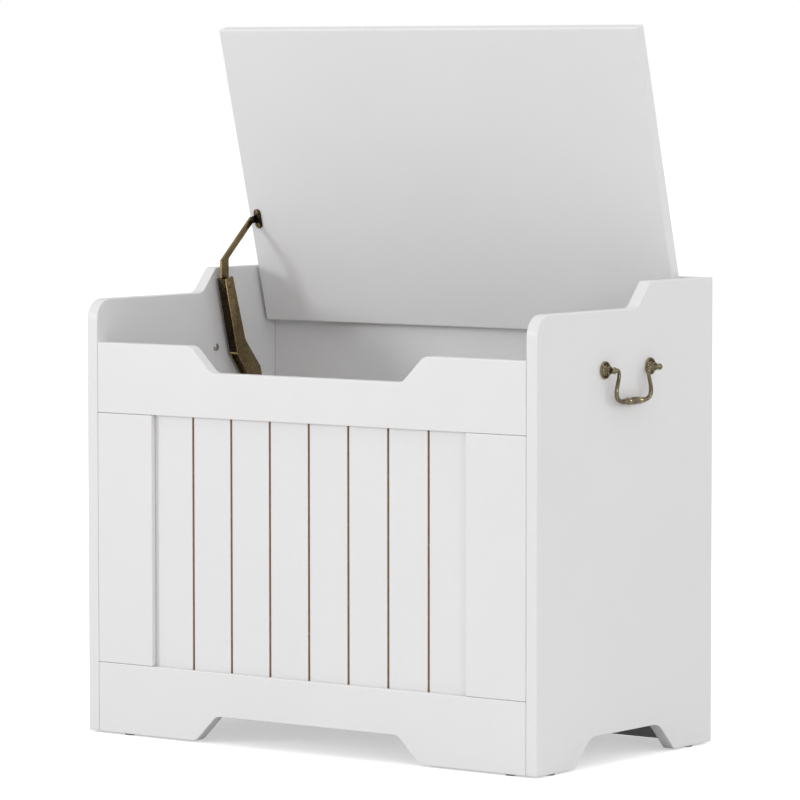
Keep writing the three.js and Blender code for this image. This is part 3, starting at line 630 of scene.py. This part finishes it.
def screw_drawing(head, head_height, shank, length):
    """A cross-head screw: domed head with its top at the origin, thread and point below."""
    rise = head_height * 0.55
    dome = [(radius, height - rise) for radius, height in cap(head, rise)]
    neck = -head_height
    tip = neck - length
    root = shank * 0.78
    pitch = 1.1
    point = 2 * pitch
    unthreaded = 1.3
    profile = [(0, tip), (shank * 0.25, tip + 0.4)]
    for turning in range(int((length - point - unthreaded) / pitch)):
        z = tip + point + turning * pitch
        profile += [(root, z), (shank, z + pitch * 0.35), (root, z + pitch * 0.7)]
    profile += [(root, neck - 0.9), (shank, neck), (head, neck)]
    body = turned([*profile, *dome, (0, 0)], 28)
    return combined(body, cross_recess(head, head_height * 0.6), "DIFFERENCE")


def fasteners():
    """Every screw's node, body and place."""
    rows = []
    for hinge in ("hinge_left", "hinge_right"):
        for i in (1, 2):
            rows.append((f"{hinge}_wall_screw_{i}", "carcass", FRONT))
            rows.append((f"{hinge}_lid_screw_{i}", "lid_assembly", LID_TURN))
    for i in (1, 2):
        rows.append((f"stay_wall_screw_{i}", "carcass", RIGHT))
        rows.append((f"stay_lid_screw_{i}", "lid_assembly", LID_TURN @ DOWN))
    for end in ("front", "rear"):
        rows.append((f"handle_left_{end}_screw", "carcass", RIGHT))
        rows.append((f"handle_right_{end}_screw", "carcass", LEFT))
    return [(node, body, seat(node, facing)) for node, body, facing in rows]


SCREWS = fasteners()


def add_screws():
    wood = finished(screw_drawing(**WOOD_SCREW), "wood_screw", [BRASS])
    machine = finished(screw_drawing(**MACHINE_SCREW), "machine_screw", [STEEL])
    for node, body, place in SCREWS:
        handle = node.startswith("handle")
        mesh, slot = (machine, "screw_steel") if handle else (wood, "antique_brass")
        piece(mesh, f"{node}_cut", body, [node], place)


# ---------------------------------------------------------------- boards
def fill_holes(work):
    """Fills the screws' own holes in a board, which the screws close anyway."""
    inside = []
    for _, _, place in SCREWS:
        back = place.inverted() @ Matrix.Scale(MM, 4)
        for corner in work.verts:
            seen = (back @ corner.co) / MM
            if math.hypot(seen.x, seen.y) < HOLE_REACH and abs(seen.z) < HOLE_DEPTH:
                inside.append(corner)
    bmesh.ops.delete(work, geom=list(set(inside)), context="VERTS")
    rim = [edge for edge in work.edges if edge.is_boundary]
    bmesh.ops.holes_fill(work, edges=rim, sides=0)


def board(node, rounding):
    """The CAD board in millimetres, flat faces whole again, edges eased."""
    work = bmesh.new()
    work.from_mesh(NODES[node].data)
    work.transform(Matrix.Scale(1 / MM, 4))
    bmesh.ops.remove_doubles(work, verts=work.verts, dist=WELD)
    flattened(work)
    fill_holes(work)
    flattened(work)
    ease(outward(work), rounding, material=1, segments=3)
    return work


def add_board(node, body, rounding, work=None):
    mesh = finished(work or board(node, rounding), node, [PAINT, EDGE, RAW], sharp=180)
    made = piece(mesh, f"{node}_painted", body, [node])
    level = made.modifiers.new("flat faces stay flat", "WEIGHTED_NORMAL")
    level.weight = 100
    return made


def grooved_panel():
    """The front panel: its grooves are milled after painting, so they show raw fibreboard."""
    work = board("grooved_front_panel", PANEL_EASE)
    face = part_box("grooved_front_panel")[0].y / MM
    under_paint = PANEL_EASE * 0.8
    groove_floor = GROOVE_DEPTH + 0.1
    for part in work.faces:
        depth = part.calc_center_median().y - face
        if under_paint < depth < groove_floor and abs(part.normal.z) < 0.5:
            part.material_index = 2
    return work


def add_boards():
    for node in frame["record"]["behaviour"]["bodies"]["carcass"]:
        if node.startswith(("side_panel", "back_panel", "front_", "bottom_")):
            add_board(node, "carcass", BOARD_EASE)
    add_board("grooved_front_panel", "carcass", PANEL_EASE, grooved_panel())
    add_board("lid", "lid_assembly", LID_EASE)


def add_glides():
    """Round nail-on glides with a rolled rim."""
    rim = arc((5.0, 1.0), 1.0, -90, 20, 6)
    profile = [(0, 0.25), (1.6, 0.25), (2.1, 0), *rim, (5.8, 1.7), (0, 1.7)]
    mesh = finished(turned(profile, 32), "glide", [PLASTIC])
    upright = Matrix.Identity(4)
    for node in sorted(NODES):
        if node.startswith("glide"):
            place = seat(node, upright, at_top=False)
            piece(mesh, f"{node}_moulded", "carcass", [node], place)


# ---------------------------------------------------------------- handles
def post_drawing():
    """A turned post along +Z: stepped rosette, stout neck, and a ball with an eye along Y."""
    rosette = [(ROSETTE, 0), (ROSETTE, 0.8), *arc((ROSETTE - 0.85, 0.95), 0.85, 10, 150, 6)]
    dish = through([(8.3, 1.1), (7.7, 0.65), (7.0, 0.75), (6.5, 1.6), (6.0, 2.2)], 3)
    neck = through([(5.7, 2.5), (5.1, 3.4), (4.9, 4.8), (4.8, 6.2)], 4)
    collar = arc((4.2, 7.1), 0.6, -60, 80, 6)
    top = [(3.6, 8.0), (2.9, 8.9), (2.6, 10.0), (0, 10.1)]
    stem = turned([(0, 0), *rosette, *dish, *neck, *collar, *top], 48)
    bore = EYE["bore"]
    rise = math.degrees(math.acos(bore / EYE["radius"]))
    crown = arc((0, 0), EYE["radius"], -rise, rise, 14)
    throat = [(bore * 0.96, 2.2), (bore * 0.9, 0), (bore * 0.96, -2.2)]
    ball = turned([*crown, *throat], hollow=True)
    return combined(stem, [placed(ball, shift(0, 0, EYE["standoff"]) @ turn(QUARTER, "X"))])


def grip_radius(y):
    """Radius of the bail's grip at a distance from its middle: a spindle with ring beads."""
    y = abs(y)
    if y > GRIP_HALF:
        return GRIP["end"]
    radius = GRIP["waist"] + GRIP["swell"] * max(0.0, 1 - (y / (GRIP_HALF + 2)) ** 1.6)
    if BEADS[0] - 1.6 < y < BEADS[-1] + 1.4:
        radius = GRIP["bead_bed"]
    for centre in BEADS:
        radius += GRIP["bead"] * math.exp(-(((y - centre) / BEAD_SPREAD) ** 2))
    return min(radius, GRIP["most"])


def bail_drawing():
    """The bail: the eyes' axis is Y, the grip hangs down, and the legs are cranked towards -X."""
    spacing = 0.4  # of the rings along the grip
    # From an eye down to the grip: x, y, z and the wire's radius.
    leg = [
        (0, EYE_Y, 0, WIRE),
        (0, 41, 0.1, WIRE),
        (-1, 37.6, 0.3, WIRE),
        (-0.8 * CRANK, 32.5, -0.2, 1.9),
        (-CRANK, 29.8, -3.5, 2),
        (-CRANK, 29.8, -8, 2.1),
        (-CRANK, 31.3, -13.5, 2.2),
        (-CRANK, 33.4, -19.5, 2.3),
        (-CRANK, 34.3, -25.5, 2.5),
        (-CRANK, 33.1, -31, 2.6),
        (-CRANK, 28.2, -34.6, 2.5),
        (-CRANK, GRIP_HALF + spacing, -DROP, GRIP["end"]),
    ]
    # The wire's rounded end: how far past the eye, and the share of its radius there.
    nose = [(3, 0), (2.9, 0.55), (2.5, 0.85), (1.8, 1.0)]
    end = [Vector((0, EYE_Y + reach, 0, WIRE * share)) for reach, share in nose]
    rear = [*end, *through(leg, 8)]
    grip = [GRIP_HALF - spacing * k for k in range(round(2 * GRIP_HALF / spacing) + 1)]
    middle = [Vector((-CRANK, y, -DROP, grip_radius(y))) for y in grip]
    front = [Vector((p.x, -p.y, p.z, p.w)) for p in reversed(rear)]
    line = [*rear, *middle, *front]
    return swept([p.to_3d() for p in line], [p.w for p in line], 22)


def add_handles():
    posts = finished(post_drawing(), "handle_post", [CAST])
    bar = finished(bail_drawing(), "bail", [CAST])
    for side, facing, about in (("left", LEFT, math.pi), ("right", RIGHT, 0)):
        for end in ("front", "rear"):
            node = f"handle_{side}_{end}_post"
            place = seat(node, facing, at_top=False)
            piece(posts, f"{node}_turned", "carcass", [node], place)
        node = f"handle_{side}_bail"
        place = Matrix.Translation(joint_at(f"{side}_handle_swing")) @ turn(about, "Z")
        piece(bar, f"{node}_bent", f"{side}_bail", [node], place)


# ---------------------------------------------------------------- hinges
def leaf_drawing(ranges):
    """A hinge leaf along +Z, its flat back at y = knuckle radius, rolled at the x ranges."""
    half = LEAF["width"] / 2
    low = KNUCKLE + 0.4  # clear of the other leaf's knuckle
    high = LEAF["length"]
    corner = 4
    right = arc((half - corner, high - corner), corner, 0, 90, 6)
    left = arc((corner - half, high - corner), corner, 90, 180, 6)
    plate = pressed([(-half, low), (half, low), *right, *left], LEAF["thickness"], 0.3)
    plate = placed(plate, shift(0, KNUCKLE, 0) @ turn(QUARTER, "X"))
    inset = 0.05  # keeps the faces of the rolls off the faces of the plate
    outside = KNUCKLE - inset
    inside = KNUCKLE - LEAF["thickness"] + inset
    curl = 318  # degrees that a knuckle is rolled
    outer = arc((0, 0), outside, 0, -curl, 26)
    hollow = arc((0, 0), inside, -curl, 0, 22)
    section = [(outside, low + 1), *outer, *hollow, (inside, low + 1)]
    rolls = []
    for x0, x1 in ranges:
        roll = pressed(section, x1 - x0 - 2 * inset)
        rolls.append(placed(roll, shift(x0 + inset, 0, 0) @ ACROSS_X))
    return combined(plate, rolls)


def pin_drawing():
    """A hinge pin along X, with a domed head past each end of the leaves."""
    end = LEAF["width"] / 2 + GAP
    radius = 1.5
    head = [(2.6, 0), (2.6, 0.5), (2.4, 1.0), (1.8, 1.4), (0.9, 1.58), (0, 1.6)]
    far = [(r, end + h) for r, h in head]
    near = [(r, -h) for r, h in reversed(far)]
    return placed(turned([*near, (radius, -end), (radius, end), *far], 32), RIGHT)


def add_hinges():
    half = LEAF["width"] / 2
    split = LEAF["centre_knuckle"] / 2
    wall = leaf_drawing([(-half, -split - GAP / 2), (split + GAP / 2, half)])
    lid = leaf_drawing([(GAP / 2 - split, split - GAP / 2)])
    wall = finished(wall, "wall_leaf", [BRASS])
    lid = finished(lid, "lid_leaf", [BRASS])
    pin = finished(pin_drawing(), "hinge_pin", [BRASS])
    lid_leaf_turn = turn(math.pi, "Z") @ turn(-QUARTER, "X")
    for hinge in ("hinge_left", "hinge_right"):
        low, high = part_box(f"{hinge}_pin")
        along = Matrix.Translation(((low.x + high.x) / 2, 0, 0))
        rest = along @ at_joint("lid_hinge")
        piece(wall, f"{hinge}_wall_leaf_rolled", "carcass", [f"{hinge}_wall_leaf"],
              rest)
        piece(pin, f"{hinge}_pin_turned", "carcass", [f"{hinge}_pin"], rest)
        on_lid = along @ at_joint("lid_hinge", -OPEN) @ lid_leaf_turn
        piece(lid, f"{hinge}_lid_leaf_rolled", "lid_assembly", [f"{hinge}_lid_leaf"],
              on_lid)


# ---------------------------------------------------------------- lid stay
# From the wall pivot to the knee, and from the hinge line to the bracket, with the lid closed.
AT_BRACKET = Matrix.Translation((0, STAY_BRACKET[0] * MM, STAY_BRACKET[1] * MM))


def channel_section():
    """The channel's U: its web along x at y = 0, with rounded bends up into over-long flanges."""
    half, wall = CHANNEL["width"] / 2, CHANNEL["wall"]
    bend, tall = 2.6, 60
    left, right = (bend - half, bend), (half - bend, bend)
    outer = [*arc(left, bend, 180, 270, 6), *arc(right, bend, 270, 360, 6)]
    inner = [*arc(right, bend - wall, 360, 270, 6), *arc(left, bend - wall, 270, 180, 6)]
    return [*outer, (half, tall), (half - wall, tall), *inner, (wall - half, tall), (-half, tall)]


def channel_drawing():
    """A pressed U channel with the lid closed, x along the box's x, its wall pivot at the origin.

    Its web is parallel to the lid, and its flanges bend up to the wall pivot.
    """
    knee_y, knee_z = STAY_BRACKET
    front = knee_y - CHANNEL["head"]
    web_face = knee_z - FLANGE["knee_to_web"]
    boss = FLANGE["boss"]
    spare = 1  # what each drawing has beyond the other's edges
    side_view = rounded([
        (front, web_face - spare, 0.1),
        (front + CHANNEL["web_length"] - spare, web_face - spare, 12),
        (boss, -boss, boss - 0.2),
        (boss, boss, boss - 0.2),
        (-2 * boss, boss, boss),
        (knee_y + FLANGE["bend_at"], web_face + FLANGE["bend_depth"], 20),
        (front, web_face + FLANGE["knee_depth"], 2),
    ])
    bar = pressed(channel_section(), 2 * boss - front)
    bar = placed(placed(bar, shift(0, web_face, front - spare)), ALONG_Y)
    sheet = pressed(side_view, CHANNEL["width"] + 2 * spare)
    sheet = placed(sheet, shift(-CHANNEL["width"] / 2 - spare, 0, 0) @ ACROSS_X)
    made = combined(sheet, [bar], "INTERSECT")
    flattened(made)
    ease(outward(made), 0.25, over=60)
    # The web's outer face takes the second material: brass painted dark, as painted shade and a painted dark
    # reflection.
    for part in made.faces:
        if part.normal.z < -0.6 and part.calc_center_median().z < web_face + 1:
            part.material_index = 1
    return made


def arm_drawing():
    """The arm from its knee, x for the box's y and y for its z, pressed up along the box's x.

    A wide upright foot, whose shoulder stops on the channel's web, then a narrow slanted part.
    """
    knee, front, half = ARM["knee_half"], ARM["front"], ARM["half"]

    def edge_at(y, side):
        """Height of the slanted part's upper (1) or lower (-1) edge."""
        along = (y - STAY_FRONT) * math.tan(ARM_SLANT)
        return STAY_DROP + along + side * half / math.cos(ARM_SLANT)

    def tip(side):
        """A corner of the slanted part's end, which is round about the bracket's pivot."""
        corner = Matrix.Rotation(ARM_SLANT, 2) @ Vector((half, side * half))
        return (STAY_FRONT + corner.x, STAY_DROP + corner.y, half - 0.1)

    outline = rounded([
        (-knee, -knee, knee - 0.1),
        (knee, -knee, knee - 0.1),
        (knee, edge_at(knee, -1), 4),
        tip(-1),
        tip(1),
        (-front, edge_at(-front, 1), 4),
        (-front, ARM["shoulder"], 0.8),
        (-knee, ARM["shoulder"], 0.8),
    ])
    return placed(pressed(outline, ARM["thickness"], 0.35), ACROSS_X)


def bracket_drawing():
    """The bracket under the lid: an oval plate, with an ear bent down from its left side."""
    thick, ear = BRACKET["thickness"], BRACKET["ear"]
    plate = pressed(round_ended(BRACKET["width"], BRACKET["length"]), thick, 0.35)
    drop = STAY_BRACKET[1] - (LID_UNDERSIDE - GAP - thick)
    root = thick * 0.6
    flank = [(-ear, root), *arc((0, drop), ear, 180, 360, 20), (ear, root)]
    flank = placed(pressed(flank, thick, 0.3), shift(-BRACKET["width"] / 2, 0, 0) @ ACROSS_X)
    return combined(plate, [flank])


def rivet_drawing(x0, x1, head, rise, collars=()):
    """A rivet along X with a domed head past each end, and collars from one x to another."""
    dome = cap(head, rise)
    collar = RIVET + 1.6
    profile = [(0, x0 - rise), *[(r, x0 - h) for r, h in reversed(dome)], (RIVET, x0)]
    for start, stop in collars:
        profile += [(RIVET, start), (collar, start), (collar, stop), (RIVET, stop)]
    profile += [(RIVET, x1), *[(r, x1 + h) for r, h in dome], (0, x1 + rise)]
    return placed(turned(profile, 32), RIGHT)


def knee_drawing():
    """The knee's rivet, with a collar on each side of the arm to keep it in mid-channel."""
    inside = CHANNEL["wall"] + GAP
    collars = [
        (CHANNEL_LEFT + inside, ARM_LEFT - GAP),
        (ARM_RIGHT + GAP, CHANNEL_RIGHT - inside),
    ]
    return rivet_drawing(CHANNEL_LEFT - GAP, CHANNEL_RIGHT + GAP, 3.5, 0.9, collars)


def wall_pin_drawing():
    """The wall pivot's pin along X: a foot in the plate, a spacer, and a domed head."""
    plate = WALL_FACE + WALL_PLATE["thickness"] + GAP
    left = CHANNEL_LEFT - GAP
    right = CHANNEL_RIGHT + GAP
    spacer = RIVET + 1.8
    head = [(4, 0), (4, 0.4), (3.6, 0.85), (2.7, 1.15), (1.4, 1.28), (0, 1.3)]
    profile = [(0, WALL_FACE), (RIVET, WALL_FACE), (RIVET, plate), (spacer, plate),
               (spacer, left), (RIVET, left), (RIVET, right), *[(r, right + h) for r, h in head]]
    return placed(turned(profile, 32), RIGHT)


def stay_place(joint, angle=0.0):
    """The place of a drawing with the box's own x, and with y and z from a joint."""
    return Matrix.Translation((-joint_at(joint).x, 0, 0)) @ at_joint(joint, angle)


def add_channel():
    link = stay_place("stay_wall_pivot", -OPEN)
    channel = placed(channel_drawing(), shift(CHANNEL_MID, 0, 0))
    piece(finished(channel, "channel", [BRASS, SHADED_BRASS]), "stay_channel_pressed",
          "stay_channel_link", ["stay_channel"], link)
    piece(finished(knee_drawing(), "knee", [BRASS]), "stay_knee_rivet_domed",
          "stay_channel_link", ["stay_knee_rivet"], link @ AT_BRACKET)


def add_arm():
    arm = placed(arm_drawing(), shift(ARM_LEFT, 0, 0))
    piece(finished(arm, "arm", [BRASS]), "stay_arm_cranked", "stay_arm_link", ["stay_arm"],
          stay_place("stay_knee"))


def add_wall_mount():
    wall = stay_place("stay_wall_pivot")
    outline = round_ended(WALL_PLATE["width"], WALL_PLATE["length"])
    plate = pressed(outline, WALL_PLATE["thickness"], 0.4)
    plate = placed(plate, shift(WALL_FACE, 0, 0) @ ACROSS_X)
    piece(finished(plate, "wall_plate", [BRASS]), "stay_wall_plate_pressed", "carcass",
          ["stay_wall_plate"], wall)
    piece(finished(wall_pin_drawing(), "wall_pin", [BRASS]), "stay_wall_pin_turned", "carcass",
          ["stay_wall_pin"], wall)


def add_lid_mount():
    lid = stay_place("lid_hinge", -OPEN)
    ear_left = ARM_RIGHT + GAP
    plate_middle = ear_left + BRACKET["width"] / 2
    plate_base = LID_UNDERSIDE - GAP - BRACKET["thickness"]
    plate = Matrix.Translation((plate_middle * MM, STAY_BRACKET[0] * MM, plate_base * MM))
    # The bracket and its pin take the brass painted dark, as painted shade under the lid.
    piece(finished(bracket_drawing(), "bracket", [SHADED_BRASS]), "stay_lid_bracket_bent",
          "lid_assembly", ["stay_lid_bracket"], lid @ plate)
    end_pin = rivet_drawing(ARM_LEFT - GAP, ear_left + BRACKET["thickness"] + GAP, 3.3, 1.2)
    piece(finished(end_pin, "end_pin", [SHADED_BRASS]), "stay_lid_pin_domed", "lid_assembly",
          ["stay_lid_pin"], lid @ AT_BRACKET)


def add_stay():
    add_channel()
    add_arm()
    add_wall_mount()
    add_lid_mount()


# ---------------------------------------------------------------- studio
def add_floor():
    """A wide, plain, nearly white floor, lifted a little for the eye so that it fades out."""
    finish = Finish("studio_floor", Roughness=0.9, IOR=1.3, Emission_Color=colour(1, 1, 1))
    drift = finish.spread(finish.noise(1.5, 3), 0.3, 0.7)
    tone = finish.blended(drift, colour(0.8, 0.8, 0.8), colour(0.82, 0.82, 0.82))
    seen = finish.node("ShaderNodeLightPath").outputs["Is Camera Ray"]
    finish.wire(Base_Color=tone, Emission_Strength=finish.multiplied(seen, FLOOR_LIFT))
    work = bmesh.new()
    bmesh.ops.create_circle(work, cap_ends=True, segments=96, radius=FLOOR_RADIUS)
    mesh = bpy.data.meshes.new("studio_floor")
    work.to_mesh(mesh)
    work.free()
    mesh.materials.append(finish.material)
    floor = bpy.data.objects.new("studio_floor", mesh)
    bpy.context.scene.collection.objects.link(floor)


def add_light(name, place, size, power):
    """A square soft light, turned to about the middle of the box."""
    light = bpy.data.lights.new(name, "AREA")
    light.shape = "SQUARE"
    light.size = size
    light.energy = power
    lamp = bpy.data.objects.new(name, light)
    lamp.location = place
    to_box = LIT_POINT - Vector(place)
    lamp.rotation_euler = to_box.to_track_quat("-Z", "Y").to_euler()
    bpy.context.scene.collection.objects.link(lamp)


def add_world():
    """An even white surround: plain white to the eye, dimmer as a light."""
    world = bpy.data.worlds.new("studio")
    world.use_nodes = True
    tree = world.node_tree
    strength = tree.nodes.new("ShaderNodeMapRange")
    strength.inputs["To Min"].default_value = AMBIENT
    strength.inputs["To Max"].default_value = 1.0
    seen = tree.nodes.new("ShaderNodeLightPath").outputs["Is Camera Ray"]
    tree.links.new(seen, strength.inputs["Value"])
    surround = tree.nodes["Background"]
    surround.inputs["Color"].default_value = colour(1, 1, 1)
    tree.links.new(strength.outputs["Result"], surround.inputs["Strength"])
    bpy.context.scene.world = world


def add_studio():
    add_floor()
    add_world()
    for name, light in LIGHTS.items():
        add_light(name, **light)
    bpy.context.scene.view_settings.view_transform = "Standard"


def add_camera():
    data = bpy.data.cameras.new("camera")
    data.lens = CAMERA["lens"]
    data.clip_start = 0.1
    data.clip_end = 3 * FLOOR_RADIUS
    camera = bpy.data.objects.new("camera", data)
    rise = math.radians(CAMERA["elevation"])
    swing = math.radians(CAMERA["azimuth"])
    level = math.cos(rise)
    away = Vector((math.sin(swing) * level, -math.cos(swing) * level, math.sin(rise)))
    camera.location = Vector(CAMERA["aim"]) + away * CAMERA["distance"]
    aimed = (-away).to_track_quat("-Z", "Y").to_matrix().to_4x4()
    roll = turn(math.radians(CAMERA["roll"]), "Z")
    camera.rotation_euler = (aimed @ roll).to_euler()
    bpy.context.scene.collection.objects.link(camera)
    bpy.context.scene.camera = camera


add_camera()
add_studio()
add_boards()
add_glides()
add_screws()
add_hinges()
add_stay()
add_handles()

bpy.context.view_layer.update()
